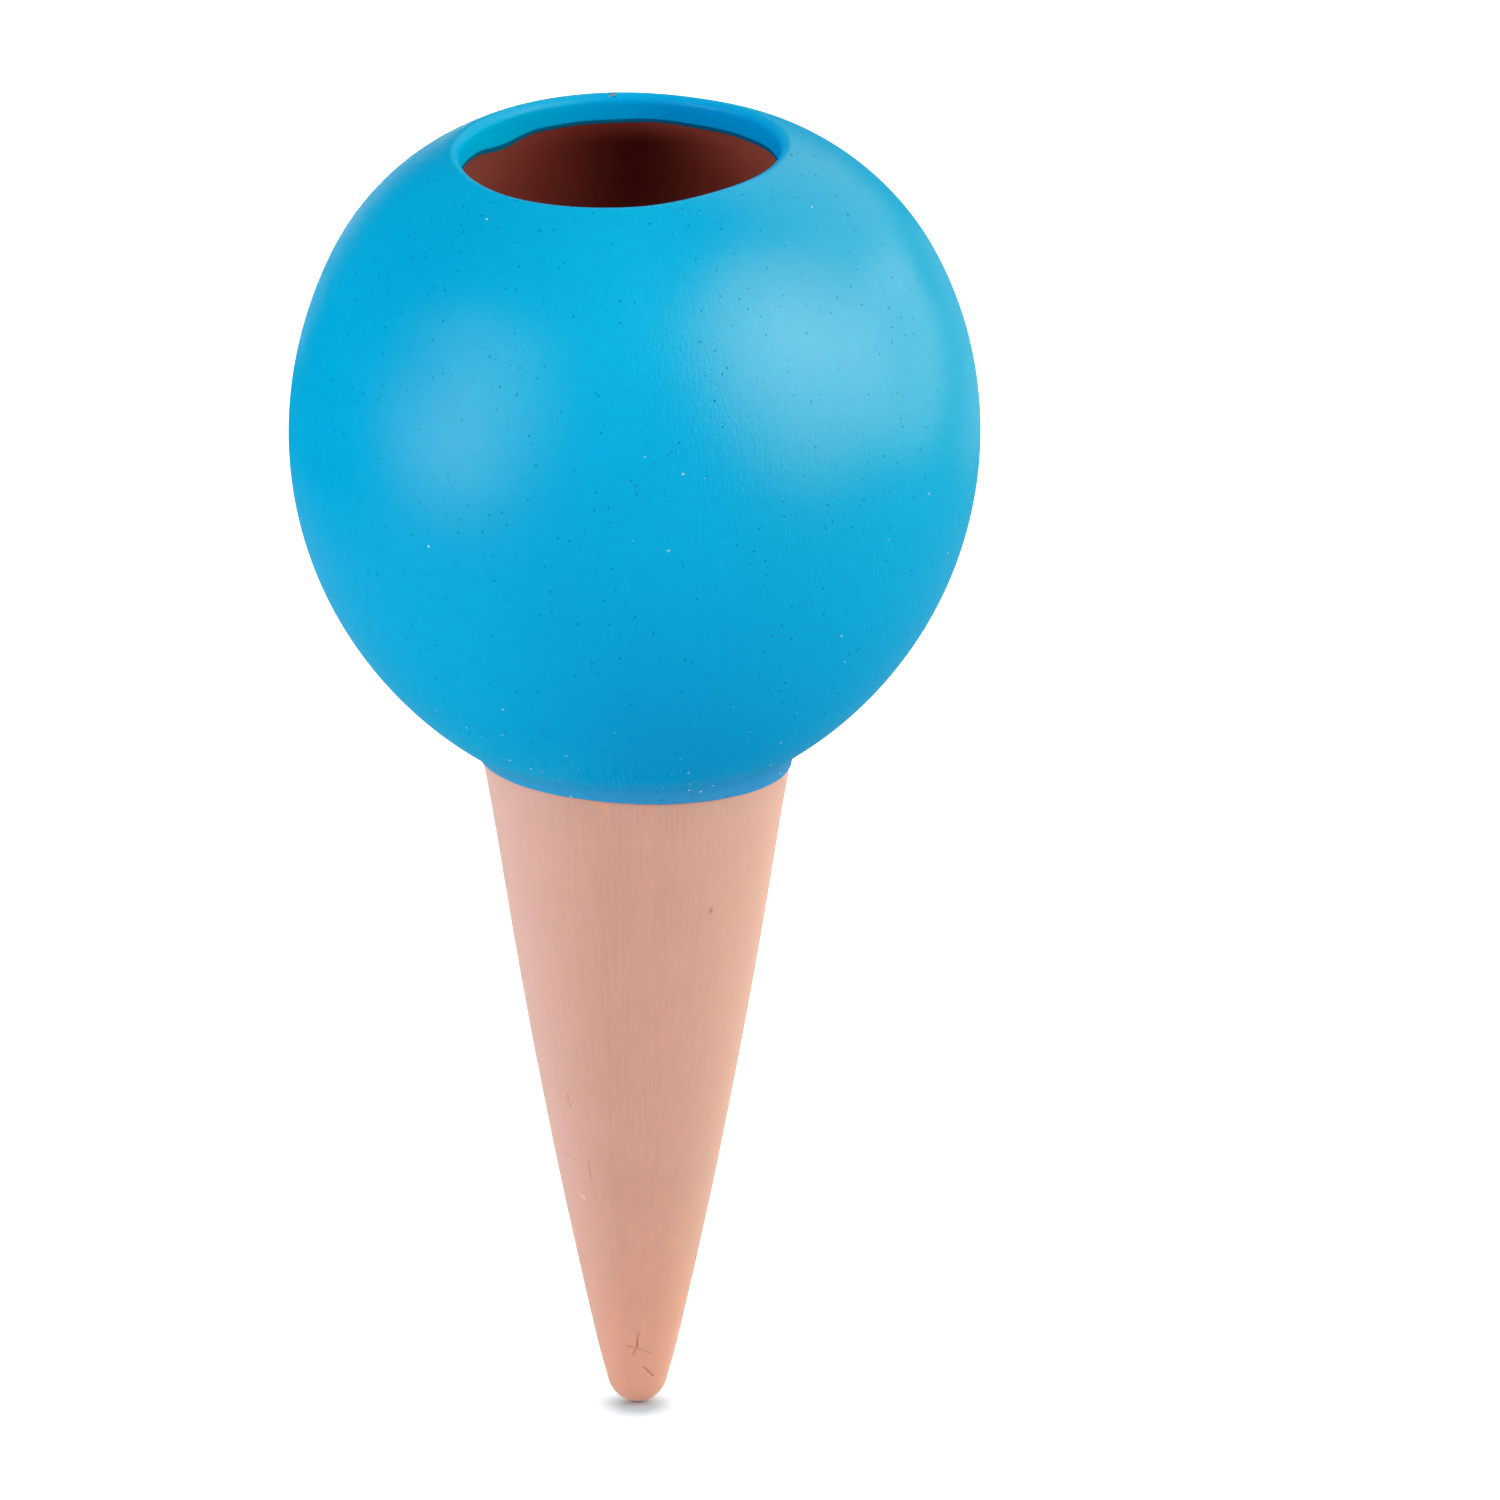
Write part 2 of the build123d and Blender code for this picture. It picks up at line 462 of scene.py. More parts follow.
def dome_place(x, y):
    """A point on the painted shoulder."""
    return np.array((x, y, float(height_on(grown(shoulder, coat), hypot(x, y), 1))))


# The nick in the far rim, and the specks and pits in the paint beside the mouth, with their radius
NICK = lip_place(92.7, -24.0)
NICK_SIZE = 0.7
NICK_FLOOR = 0.2  # share of its size over which it is full depth
NICK_DEPTH = 0.12
DARK_SPOTS = (
    (lip_place(93.3, -16.0), 0.34),
    (lip_place(92.6, -28.0), 0.4),
    (lip_place(92.1, -38.0), 0.24),
    (dome_place(21.5, -5.8), 0.3),
    (dome_place(22.3, -4.6), 0.22),
    (dome_place(24.6, -2.8), 0.28),
    (dome_place(24.8, -9.0), 0.26),
    (dome_place(27.7, -11.5), 0.24),
    (dome_place(29.2, -14.0), 0.28),
)
BARE_SPOTS = (
    (lip_place(93.0, -25.0), 0.3),
    (lip_place(92.0, -22.0), 0.24),
)

# Rows of the paint: as shares of the way up its face, and as counts elsewhere
FACE_SHARES = spaced((0.0, 0.05, 34), (0.05, 0.94, 112), (0.94, 1.0, 18))
BACK_SHARES = np.linspace(1.0, 0.0, 46)
LIP_COUNT = 14
LINING_COUNT = 14
HIDDEN_BORE_COUNT = 5
HIDDEN_LIP_COUNT = 6
SHADE_EDGE_COUNT = 3  # last rows of the lining, which get a line of painted shade, as do the hidden rows behind them


def skin_rows():
    """The paint's closed skin: up its face, over the lip, down the lining and back along its hidden side."""
    lip = lip_rounding + coat
    hidden_lip = lip_rounding + film_gap
    face = outside(coat, paint_crease)
    back = outside(film_gap, bead_radius)
    middle = outside(coat / 2, paint_crease)
    line = paint_line()
    edge = bore_edge(mouth_r + coat) + bare_edge
    face_end = face.closing_at(lip_contact(lip))
    back_end = back.closing_at(lip_contact(hidden_lip))
    middle_end = middle.closing_at(lip_contact(lip))
    return np.concatenate((
        dome_rows(face, face.at_height(line), face_end, FACE_SHARES),
        lip_rows(lip, LIP_COUNT)[1:],
        bore_rows(mouth_r, spine_z, edge, LINING_COUNT)[1:],
        bore_rows(mouth_r + coat / 2, edge - paint_edge, edge, 1),
        bore_rows(mouth_r + coat - film_gap, edge, spine_z, HIDDEN_BORE_COUNT),
        lip_rows(hidden_lip, HIDDEN_LIP_COUNT)[::-1][1:],
        dome_rows(back, back.at_height(line), back_end, BACK_SHARES)[1:],
        dome_rows(middle, middle.at_height(line - paint_edge), middle_end, np.zeros(1)),
    ))


def paint_skin(material):
    """The film of paint, with red marks for a line of painted shade at its inner edge and green ones on its
    lining.
    """
    rows = skin_rows()
    away = np.linalg.norm(rows - NICK, axis=-1)
    nick = NICK_DEPTH * (1 - smooth(away, NICK_FLOOR * NICK_SIZE, NICK_SIZE))
    rows = hand_made(rows - nick[..., None] * grid_normals(rows))
    piece = make_piece("paint_skin", rows.reshape(-1, 3), grid_faces(len(rows), wrapped=True), material)
    lip_first = len(FACE_SHARES)
    lip_end = lip_first + LIP_COUNT - 1
    lining_end = lip_end + LINING_COUNT - 1
    marks = np.zeros(rows.shape)
    marks[lining_end - SHADE_EDGE_COUNT :, :, 0] = 1.0
    marks[lip_first:lip_end, :, 1] = np.linspace(0.0, 1.0, LIP_COUNT - 1)[:, None]
    marks[lip_end:, :, 1] = 1.0
    add_marks(piece, marks.reshape(-1, 3))
    take_place(piece, "paint_coat")


# Clay globe

# Rows of the globe: as shares of the way along its outside and its cavity, and as counts elsewhere
OUTER_SHARES = np.linspace(0.0, 1.0, 48)
CAVITY_SHARES = spaced((0.0, 0.06, 11), (0.06, 0.97, 109), (0.97, 1.0, 10))
CLAY_LIP_COUNT = 8
CLAY_BORE_COUNT = 10


def cavity_rows(bore_r):
    """Rows down the reservoir's inner wall, from a mouth of that radius, with throwing rings."""
    hollow = inside()
    edge_x, edge_y = round_mouth(bore_r)
    edge_lean = short_way(np.arctan2(edge_y, edge_x) - around)
    start = hollow.opening_at(np.hypot(edge_x, edge_y))
    length = start + CAVITY_SHARES[:, None] * (hollow.total - start)
    r, z = hollow.at(length)
    rings = RING_HEIGHT * np.sin(z / RING_PITCH + np.sin(around))
    rings = rings * smooth(z, *RINGS_START) * (1 - smooth(z, *RINGS_END))
    lean = (1 - smooth(CAVITY_SHARES, *CAVITY_TURN))[:, None] * edge_lean
    lower = burr() * np.exp(-(((length - start) / BURR_REACH) ** 2))
    return turned(r + rings, around + lean, z - lower)


def clay_globe(material):
    """The hollow globe under the paint, from the neck's seam up, over the lip and down its inner wall."""
    outer = outside(0.0, bead_radius)
    outer_end = outer.closing_at(lip_contact(lip_rounding))
    bore_r = mouth_r + coat
    rows = np.concatenate((
        dome_rows(outer, outer.at_height(seam_top[1]), outer_end, OUTER_SHARES),
        lip_rows(lip_rounding, CLAY_LIP_COUNT)[1:],
        bore_rows(bore_r, spine_z, bore_edge(bore_r), CLAY_BORE_COUNT)[1:],
        cavity_rows(bore_r)[1:],
    ))
    points = hand_made(rows).reshape(-1, 3)
    piece = make_piece("clay_globe", points, grid_faces(len(rows), wrapped=True), material)
    take_place(piece, "reservoir_globe")


# Clay spike

Mark = namedtuple("Mark", "start end width depth dark pale rust")

# Marks on the spike: start and end as angle round the axis and height, then width, depth and colours
SPIKE_MARKS = (
    Mark((-56.3, -18.8), (-56.0, -19.1), 0.2, 0.06, 0.8, 0.0, 0.0),
    Mark((-135.5, -47.3), (-135.0, -48.2), 0.1, 0.05, 0.4, 0.0, 0.0),
    Mark((-135.0, -48.2), (-133.8, -49.4), 0.1, 0.05, 0.35, 0.0, 0.0),
    Mark((-125.3, -57.4), (-124.6, -58.6), 0.1, 0.05, 0.3, 0.0, 0.0),
    Mark((-124.6, -58.6), (-124.3, -60.2), 0.1, 0.05, 0.4, 0.0, 0.0),
    Mark((-150.0, -57.2), (-136.0, -57.6), 0.08, 0.04, 0.25, 0.0, 0.0),
    Mark((-137.0, -63.0), (-134.5, -63.4), 0.28, 0.08, 0.0, 0.8, 0.0),
    Mark((-142.0, -62.6), (-141.0, -62.8), 0.2, 0.05, 0.0, 0.6, 0.0),
    Mark((-155.0, -72.8), (-146.0, -73.4), 0.1, 0.08, 0.5, 0.0, 0.0),
    Mark((-15.0, -73.6), (-7.0, -74.7), 0.25, 0.2, 0.7, 0.0, 0.0),
    Mark((-88.9, -83.5), (-90.0, -84.5), 0.07, 0.05, 0.6, 0.0, 0.0),
    Mark((-90.0, -84.5), (-90.5, -85.6), 0.1, 0.06, 0.85, 0.0, 0.0),
    Mark((-90.5, -85.6), (-96.8, -87.1), 0.08, 0.05, 0.55, 0.0, 0.0),
    Mark((-104.7, -85.6), (-92.0, -85.9), 0.08, 0.05, 0.5, 0.0, 0.0),
    Mark((-92.0, -85.9), (-70.2, -86.8), 0.07, 0.05, 0.4, 0.0, 0.0),
    Mark((-79.5, -89.0), (-61.7, -90.6), 0.1, 0.06, 0.7, 0.0, 0.0),
    Mark((-104.5, -2.0), (-101.0, -2.6), 0.6, 0.0, 0.0, 0.0, 0.45),
    Mark((-85.4, -1.9), (-85.2, -3.0), 0.42, 0.0, 0.0, 0.0, 0.5),
)
MARK_CORE = 0.4  # a mark is full within this share of its width
MARK_EDGE = 1.4  # and gone beyond this one

# Rows of the spike, as lengths from start to end with their count: up from the tip, closest where marks
# lie, then over the rim and down the bore
FLANK_STRETCHES = ((0.0, 5.0, 29), (5.0, 15.0, 109), (15.0, 50.0, 199), (50.0, 90.0, 119))
FLANK_END = 90.0
FLANK_END_COUNT = 60
RIM_END = 4.1
RIM_COUNT = 5
BORE_COUNT = 90


def mark_nearness(mark, r, z):
    """1 on a mark and 0 away from it, on a grid with one distance from the axis and one height a row."""
    turn = radians(mark.start[0])
    run_x = (radians(mark.end[0]) - turn) * r[:, None]
    run_y = mark.end[1] - mark.start[1]
    x = short_way(around - turn) * r[:, None]
    y = (z - mark.start[1])[:, None]
    share = np.clip((x * run_x + y * run_y) / (run_x**2 + run_y**2), 0.0, 1.0)
    distance = np.hypot(x - share * run_x, y - share * run_y)
    return 1 - smooth(distance, MARK_CORE * mark.width, MARK_EDGE * mark.width)


def spike_sections():
    """Half sections of the spike: from the tip up its flank, and over its rim and down the bore."""
    turn = toward(flank, tip[:2])
    hollow_turn = toward(hollow_flank, hollow_tip[:2])
    rim = (neck_bore, seam_bottom[1])
    outer = Section(arc(tip, (0.0, floor_z), turn), arc(flank, turn, seam_bottom))
    inner = Section(
        (seam_bottom, rim),
        arc(hollow_flank, rim, hollow_turn),
        arc(hollow_tip, hollow_turn, hollow_end),
    )
    return outer, inner


def spike_rows(section, lengths):
    """Rows round the axis at these lengths of a section."""
    r, z = section.at(lengths)
    return turned(r[:, None], around, z[:, None])


def clay_spike(material):
    """The hollow spike, finest where its marks are, with its colour marks in three channels."""
    outer, inner = spike_sections()
    lengths = spaced(*FLANK_STRETCHES, (FLANK_END, outer.total, FLANK_END_COUNT))[1:]
    back_lengths = spaced((0.0, RIM_END, RIM_COUNT), (RIM_END, inner.total, BORE_COUNT))[1:-1]
    face = spike_rows(outer, lengths)
    channels = np.zeros(face.shape)
    depth = np.zeros(face.shape[:-1])
    for mark in SPIKE_MARKS:
        near = mark_nearness(mark, *outer.at(lengths))
        depth = np.maximum(depth, mark.depth * near)
        channels = np.maximum(channels, near[..., None] * np.array((mark.dark, mark.pale, mark.rust)))
    face = hand_made(face) - depth[..., None] * radial
    back = hand_made(spike_rows(inner, back_lengths))
    rows = np.concatenate((face, back))
    poles = ((0.0, 0.0, floor_z), (0.0, *hollow_end))
    points = np.vstack((rows.reshape(-1, 3), poles))
    tip_pole = len(rows) * COLUMNS
    hollow_pole = tip_pole + 1
    last_row = tip_pole - COLUMNS
    faces = list(grid_faces(len(rows), wrapped=False))
    column = np.arange(COLUMNS)
    beside = (column + 1) % COLUMNS
    faces += [(tip_pole, b, a) for a, b in zip(column, beside)]
    faces += [(last_row + a, last_row + b, hollow_pole) for a, b in zip(column, beside)]
    piece = make_piece("clay_spike", points, faces, material)
    marks = np.zeros((len(points), 3))
    marks[: len(face) * COLUMNS] = channels.reshape(-1, 3)
    add_marks(piece, marks)
    take_place(piece, "watering_spike")


# Materials

# Sockets of the Mix node that carry its share, its two colours and its result
MIX_SHARE = 0
MIX_FIRST = 6
MIX_SECOND = 7
MIX_RESULT = 2

# Spots and dots are full within the first share of their radius, and spots are gone beyond the second
SPOT_CORE = 0.6
SPOT_EDGE = 1.2


class Finish:
    """A material, with short calls that add nodes and link them."""

    def __init__(self, name, constants):
        self.material = bpy.data.materials.new(name)
        self.material.use_nodes = True
        self.tree = self.material.node_tree
        self.shader = self.tree.nodes["Principled BSDF"]
        for socket, value in constants.items():
            self.shader.inputs[socket].default_value = value
        self.place = self.tree.nodes.new("ShaderNodeTexCoord").outputs["Object"]

    def feed(self, socket, value):
        """Links another socket to a socket, or sets it to a plain value."""
        if isinstance(value, bpy.types.NodeSocket):
            self.tree.links.new(value, socket)
        else:
            socket.default_value = value

    def add(self, kind, sockets, **settings):
        """A new node with these settings and these values or links in its sockets."""
        node = self.tree.nodes.new("ShaderNode" + kind)
        for name, value in settings.items():
            setattr(node, name, value)
        for name, value in sockets.items():
            self.feed(node.inputs[name], value)
        return node

    def moved(self, shift, tall):
        """Object coordinates moved by metres and drawn out upwards by the factor tall."""
        sockets = {"Vector": self.place, "Location": (shift, shift, shift), "Scale": (1.0, 1.0, 1.0 / tall)}
        return self.add("Mapping", sockets).outputs["Vector"]

    def vector(self, operation, first, second=(0.0, 0.0, 0.0)):
        node = self.add("VectorMath", {}, operation=operation)
        self.feed(node.inputs[0], first)
        self.feed(node.inputs[1], second)
        return node.outputs["Value" if operation == "DISTANCE" else "Vector"]

    def outwards(self):
        """The direction away from the axis."""
        return self.vector("NORMALIZE", self.vector("MULTIPLY", self.place, (1.0, 1.0, 0.0)))

    def side(self):
        """How far the direction away from the axis points right: -1 at the left, 1 at the right."""
        return self.add("SeparateXYZ", {"Vector": self.outwards()}).outputs["X"]

    def noise(self, size, detail=2.0, shift=0.0):
        """Noise with spots of about that size in millimetres."""
        sockets = {"Vector": self.moved(shift, 1.0), "Scale": 1.0 / (size * MM), "Detail": detail}
        return self.add("TexNoise", sockets).outputs["Fac"]

    def strokes(self, size, radius, tall, detail=2.0):
        """Noise drawn out upwards, with that width in millimetres at that distance from the axis."""
        ring = self.vector("MULTIPLY", self.outwards(), (radius * MM, radius * MM, 0.0))
        rise = self.vector("MULTIPLY", self.place, (0.0, 0.0, 1.0 / tall))
        sockets = {"Vector": self.vector("ADD", ring, rise), "Scale": 1.0 / (size * MM), "Detail": detail}
        return self.add("TexNoise", sockets).outputs["Fac"]

    def spots(self, places):
        """1 inside round spots at these places, given with their radius in millimetres."""
        found = []
        for place, radius in places:
            distance = self.vector("DISTANCE", self.place, tuple(hand_made(place) * MM))
            found.append(self.ramp(distance, SPOT_EDGE * radius * MM, SPOT_CORE * radius * MM))
        return self.most(*found)

    def dots(self, spacing, radius, shift=0.0, tall=1.0):
        """1 inside scattered dots up to that radius, 0 between them, in millimetres."""
        sockets = {"Vector": self.moved(shift, tall), "Scale": 1.0 / (spacing * MM)}
        distance = self.add("TexVoronoi", sockets).outputs["Distance"]
        return self.ramp(distance, radius / spacing, SPOT_CORE * radius / spacing)

    def ramp(self, value, start, end, low=0.0, high=1.0, kind="LINEAR"):
        """Low at the start value, high at the end value and changing evenly between them."""
        sockets = {"Value": value, "From Min": start, "From Max": end, "To Min": low, "To Max": high}
        return self.add("MapRange", sockets, interpolation_type=kind).outputs["Result"]

    def math(self, operation, first, second=0.0):
        node = self.add("Math", {}, operation=operation)
        self.feed(node.inputs[0], first)
        self.feed(node.inputs[1], second)
        return node.outputs[0]

    def times(self, first, second):
        return self.math("MULTIPLY", first, second)

    def most(self, first, *others):
        """The largest of several values."""
        for other in others:
            first = self.math("MAXIMUM", first, other)
        return first

    def rest(self, value):
        """What a value leaves of 1."""
        return self.math("SUBTRACT", 1.0, value)

    def mix(self, share, first, second):
        """The first colour, with that share of the second in its place."""
        node = self.add("Mix", {}, data_type="RGBA")
        self.feed(node.inputs[MIX_SHARE], share)
        self.feed(node.inputs[MIX_FIRST], first)
        self.feed(node.inputs[MIX_SECOND], second)
        return node.outputs[MIX_RESULT]

    def axis(self, name):
        """One object coordinate, in metres."""
        return self.add("SeparateXYZ", {"Vector": self.place}).outputs[name]

    def mark(self, channel):
        """One channel of the piece's marks."""
        colour = self.add("Attribute", {}, attribute_name=MARKS).outputs["Color"]
        return self.add("SeparateColor", {"Color": colour}).outputs[channel]

    def bump(self, height, depth, below=None):
        """A bump of that depth in millimetres, on top of another bump."""
        sockets = {"Height": height, "Distance": depth * MM}
        if below is not None:
            sockets["Normal"] = below
        return self.add("Bump", sockets).outputs["Normal"]


def rgb(red, green, blue):
    return (red, green, blue, 1.0)


# In the materials, places are in metres, and the sizes of noise, strokes, dots and bumps in millimetres.

# Colours of the paint
PAINT = rgb(0.0, 0.415, 0.75)
PAINT_PALE = rgb(0.0, 0.44, 0.78)
# The next five colours are painted light and shade: lighter at the right and at the top, deeper low down in
# the middle, lighter low at the left
PAINT_RIGHT_LIT = rgb(0.0, 0.47, 0.74)
PAINT_TOP_LIT = rgb(0.0, 0.5, 0.82)
PAINT_LOW_SHADE = rgb(0.0, 0.37, 0.76)
PAINT_LOW_SHADE_LEFT = rgb(0.0, 0.465, 0.82)
PAINT_LOW_SHADE_RIGHT = rgb(0.0, 0.42, 0.78)
PAINT_CLOUDS = rgb(0.0, 0.34, 0.64)
PAINT_STREAKS = rgb(0.03, 0.56, 0.86)
PAINT_HEM = rgb(0.08, 0.3, 0.6)
# Painted light and shade on the lining: bright where it is lit at the left, deeper where it is shaded at the
# right
LINING_LIT = rgb(0.0, 0.65, 1.0)
LINING_SHADED = rgb(0.0, 0.36, 0.85)
# Painted shade: a dark line along the lining's lower edge
LINING_EDGE_SHADE = rgb(0.0, 0.05, 0.1)
PINHOLE = rgb(0.0, 0.17, 0.36)
DUST = rgb(0.7, 0.88, 0.95)
LOW_DUST = rgb(0.9, 0.96, 1.0)
DARK_SPOT = rgb(0.0, 0.1, 0.24)
BARE_SPOT = rgb(0.45, 0.32, 0.33)

COAT_HIGH = 0.068  # weight of the paint's clear coat on the shoulder
COAT_LOW = 0.154  # and near the neck


def paint_ground(paint, height, sideways, off_middle):
    """The blue of the paint with clouds, with painted light and shade: lighter at the right and at the top,
    deeper low down in the middle and lighter low at the left.
    """
    colour = paint.mix(paint.ramp(paint.noise(30.0), 0.35, 0.65), PAINT, PAINT_PALE)
    # Painted light at the right
    colour = paint.mix(paint.ramp(sideways, 0.0, 0.045), colour, PAINT_RIGHT_LIT)
    # Painted light at the top
    top = paint.times(paint.ramp(off_middle, 0.028, 0.0), paint.ramp(height, 0.05, 0.072))
    colour = paint.mix(top, colour, PAINT_TOP_LIT)
    # Painted shade low down in the middle, with painted light low at the left
    low = paint.mix(paint.ramp(sideways, 0.0, -0.022), PAINT_LOW_SHADE, PAINT_LOW_SHADE_LEFT)
    low = paint.mix(paint.ramp(sideways, 0.012, 0.035), low, PAINT_LOW_SHADE_RIGHT)
    colour = paint.mix(paint.ramp(height, 0.045, 0.005), colour, low)
    clouds = paint.ramp(paint.noise(1.4, detail=5.0, shift=0.3), 0.3, 0.7, 0.0, 0.2)
    return paint.mix(clouds, colour, PAINT_CLOUDS)


def paint_neck(paint, colour, height, sideways):
    """Brush streaks above the neck, most at the left, and the paint's dull lower hem."""
    strokes = paint.strokes(0.24, radius=25.0, tall=8.0)
    thin = paint.times(paint.ramp(height, 0.012, 0.002), paint.ramp(sideways, 0.012, -0.015, 0.35, 1.0))
    streaks = paint.times(paint.ramp(strokes, 0.42, 0.68, 0.0, 0.45), thin)
    colour = paint.mix(streaks, colour, PAINT_STREAKS)
    hem = paint.ramp(height, 0.0035, -0.0015, 0.0, 0.55)
    return paint.mix(hem, colour, PAINT_HEM)


def paint_gloss(paint, height, sideways, off_middle):
    """Weight of the paint's clear coat: most low down, worn at the left, wiped off in the middle low down."""
    patchy = paint.ramp(paint.noise(0.7, detail=3.0), 0.3, 0.7, 0.85, 1.15)
    gloss = paint.times(patchy, paint.ramp(height, 0.06, 0.005, COAT_HIGH, COAT_LOW))
    left = paint.times(paint.ramp(sideways, -0.033, -0.041, 0.0, 0.8), paint.ramp(height, 0.034, 0.046))
    upper = paint.times(paint.ramp(sideways, -0.005, -0.03, 0.0, 0.7), paint.ramp(height, 0.054, 0.066))
    wiped = paint.times(paint.ramp(off_middle, 0.02, 0.005, 0.0, 0.9), paint.ramp(height, 0.013, 0.005))
    return paint.times(gloss, paint.rest(paint.most(left, upper, wiped)))


def blue_paint():
    """Satin blue paint, brushed thin near the neck, with pinholes, dust, a nick down to the clay, and painted
    light and shade.
    """
    paint = Finish("blue_paint", {"Specular IOR Level": 0.0, "Coat IOR": 1.5, "Coat Roughness": 0.27})
    height = paint.axis("Z")
    sideways = paint.axis("X")
    off_middle = paint.math("ABSOLUTE", sideways)
    lining = paint.mark("Green")
    # Painted light and shade on the lining, lighter at the left and deeper at the right
    lining_lit_and_shaded = paint.mix(paint.ramp(sideways, -0.022, 0.005), LINING_LIT, LINING_SHADED)
    fine_holes = paint.times(paint.dots(0.95, 0.13, shift=0.9), 0.65)
    pinholes = paint.most(paint.dots(1.8, 0.22), fine_holes)
    dust = paint.dots(6.0, 0.22, shift=0.7)
    low_dust = paint.dots(2.7, 0.2, shift=0.2, tall=0.6)
    bare = paint.spots(BARE_SPOTS)

    colour = paint_ground(paint, height, sideways, off_middle)
    colour = paint_neck(paint, colour, height, sideways)
    for share, over in (
        (paint.times(pinholes, 0.62), PINHOLE),
        (paint.times(dust, 0.6), DUST),
        (paint.times(low_dust, paint.ramp(height, 0.016, 0.004)), LOW_DUST),
        (lining, lining_lit_and_shaded),
        # Painted shade along the lining's lower edge
        (paint.times(paint.mark("Red"), 0.8), LINING_EDGE_SHADE),
        (paint.times(paint.spots(DARK_SPOTS), 0.7), DARK_SPOT),
        (paint.times(bare, 0.8), BARE_SPOT),
    ):
        colour = paint.mix(share, colour, over)
    paint.feed(paint.shader.inputs["Base Color"], colour)

    dull = paint.most(bare, paint.ramp(lining, 0.4, 0.9), pinholes)
    gloss = paint_gloss(paint, height, sideways, off_middle)
    paint.feed(paint.shader.inputs["Coat Weight"], paint.times(gloss, paint.rest(dull)))

    grain = paint.bump(paint.noise(0.45, detail=3.0, shift=0.5), 0.035)
    brushed = paint.bump(paint.strokes(0.4, radius=40.0, tall=4.0), 0.04, below=grain)
    holes = paint.bump(paint.math("SUBTRACT", dust, pinholes), 0.05, below=brushed)
    paint.feed(paint.shader.inputs["Normal"], holes)
    paint.feed(paint.shader.inputs["Coat Normal"], holes)
    return paint.material


# Colours of the clay
SPIKE_PALE = rgb(0.72, 0.407, 0.338)
SPIKE_DEEP = rgb(0.61, 0.323, 0.248)
# Painted light on the spike's sides: pinker and lighter at the left, paler at the right
SPIKE_LEFT_LIT = rgb(0.78, 0.492, 0.45)
SPIKE_RIGHT_LIT = rgb(0.655, 0.418, 0.333)
SPIKE_TIP = rgb(0.83, 0.385, 0.253)
SPIKE_BLOTCH = rgb(0.84, 0.4, 0.26)
MARK_DARK = rgb(0.26, 0.06, 0.025)
MARK_PALE = rgb(0.85, 0.6, 0.5)
MARK_RUST = rgb(0.85, 0.36, 0.2)
GLOBE_PALE = rgb(0.95, 0.38, 0.28)
GLOBE_DEEP = rgb(0.88, 0.33, 0.23)
# Painted shade inside the globe
GLOBE_PAINTED_SHADE = rgb(0.2, 0.045, 0.035)
SLIP_PALE = rgb(0.5, 0.23, 0.16)
SLIP_DEEP = rgb(0.42, 0.18, 0.12)
SAND = rgb(0.3, 0.14, 0.09)


def fired_clay(name, pale, deep, constants):
    """Fired clay wiped lengthwise, with blotches, strokes and sand: the material so far and its colour."""
    clay = Finish(name, {"Roughness": 0.88, **constants})
    colour = clay.mix(clay.ramp(clay.noise(14.0), 0.3, 0.7, 0.25, 0.75), pale, deep)
    strokes = clay.strokes(0.25, radius=15.0, tall=30.0, detail=3.0)
    colour = clay.mix(clay.ramp(strokes, 0.42, 0.7, 0.0, 0.6), colour, deep)
    speckle = clay.ramp(clay.noise(0.4, detail=3.0, shift=0.2), 0.5, 0.72, 0.0, 0.6)
    colour = clay.mix(speckle, colour, deep)
    sand = clay.dots(1.1, 0.13, shift=0.4)
    colour = clay.mix(clay.times(sand, 0.22), colour, SAND)
    grain = clay.bump(clay.noise(0.3, detail=4.0), 0.03)
    wiped = clay.bump(clay.strokes(0.4, radius=15.0, tall=30.0), 0.012, below=grain)
    clay.feed(clay.shader.inputs["Normal"], wiped)
    return clay, colour


def spike_clay():
    """Bare clay of the spike: painted light makes it pinker and lighter at the left and paler at the right;
    warmer at the tip, with its marks.
    """
    dusty = {"Specular IOR Level": 0.15, "Sheen Weight": 0.32}
    clay, colour = fired_clay("spike_clay", SPIKE_PALE, SPIKE_DEEP, dusty)
    side = clay.side()
    height = clay.axis("Z")
    blotches = clay.ramp(clay.noise(2.0, detail=5.0, shift=0.6), 0.45, 0.7)
    for share, over in (
        # Painted light: lighter and pinker at the left, paler at the right
        (clay.ramp(side, -0.25, -0.9, 0.0, 0.7), SPIKE_LEFT_LIT),
        (clay.ramp(side, 0.25, 0.9, 0.0, 0.7), SPIKE_RIGHT_LIT),
        (clay.ramp(height, -0.06, -0.095, 0.0, 0.7), SPIKE_TIP),
        (clay.times(blotches, clay.ramp(height, -0.05, -0.09, 0.1, 0.45)), SPIKE_BLOTCH),
        (clay.mark("Red"), MARK_DARK),
        (clay.mark("Green"), MARK_PALE),
        (clay.mark("Blue"), MARK_RUST),
    ):
        colour = clay.mix(share, colour, over)
    clay.feed(clay.shader.inputs["Base Color"], colour)
    return clay.material


def globe_clay():
    """Clay of the globe, with a band of painted shade below the mouth, darkest at the front and back and
    fading to the left and right.
    """
    clay, colour = fired_clay("globe_clay", GLOBE_PALE, GLOBE_DEEP, {"Specular IOR Level": 0.0})
    off_middle = clay.math("ABSOLUTE", clay.side())
    height = clay.axis("Z")
    band = clay.times(clay.ramp(height, 0.0845, 0.0775), clay.ramp(height, 0.052, 0.063))
    # Painted shade in a band below the mouth, darkest at the front and back
    shade = clay.times(band, clay.ramp(off_middle, 0.62, 0.0, kind="SMOOTHSTEP"))
    clay.feed(clay.shader.inputs["Base Color"], clay.mix(shade, colour, GLOBE_PAINTED_SHADE))
    return clay.material


